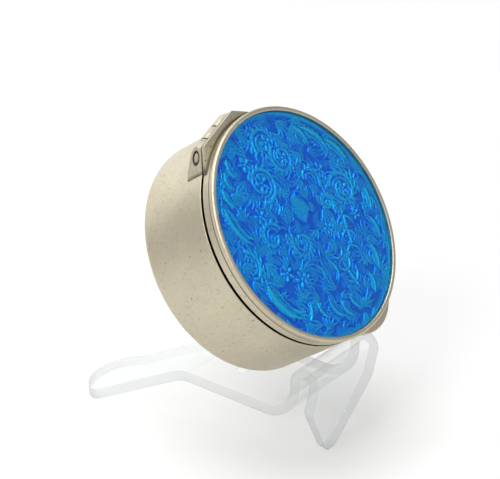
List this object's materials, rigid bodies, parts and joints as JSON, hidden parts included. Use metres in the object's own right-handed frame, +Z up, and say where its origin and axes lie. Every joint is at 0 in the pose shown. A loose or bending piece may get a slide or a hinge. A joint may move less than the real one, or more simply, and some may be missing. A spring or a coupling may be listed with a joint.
{
  "type": "guilloche enamel pill box on a clear easel",
  "caption": "Small round silver pill box with a hinged blue guilloche enamel lid, tilted back on a clear bent-sheet easel.",
  "frame": {"origin": "on the table, under the middle of the whole object's box", "axes": "+Z up; the lid faces -Y and upwards; +X is to the right for someone who faces the lid"},
  "size_m": [0.0382, 0.0514, 0.0533],
  "materials": {
    "silver": "warm satin silver with fine scratches and light tarnish",
    "hinge_silver": "tarnished silver, darker in the seams",
    "blue_enamel": "clear bright blue glass over engraved silver, glossy",
    "clear_acrylic": "clear polished acrylic sheet"
  },
  "bodies": {
    "base": {"stand": "clear_acrylic", "box_body": "silver", "body_hinge_knuckles": "hinge_silver", "hinge_pin": "hinge_silver"},
    "lid": {"lid_shell": "silver", "enamel": "blue_enamel", "lid_hinge_knuckle": "hinge_silver", "thumb_piece": "silver"}
  },
  "joints": [
    {"name": "lid_hinge", "type": "hinge", "parent": "base", "child": "lid", "pos_m": [-0.00634, -0.00185, 0.05017], "axis": [-0.9432, -0.1857, -0.2754], "range_deg": [0, 100]}
  ]
}
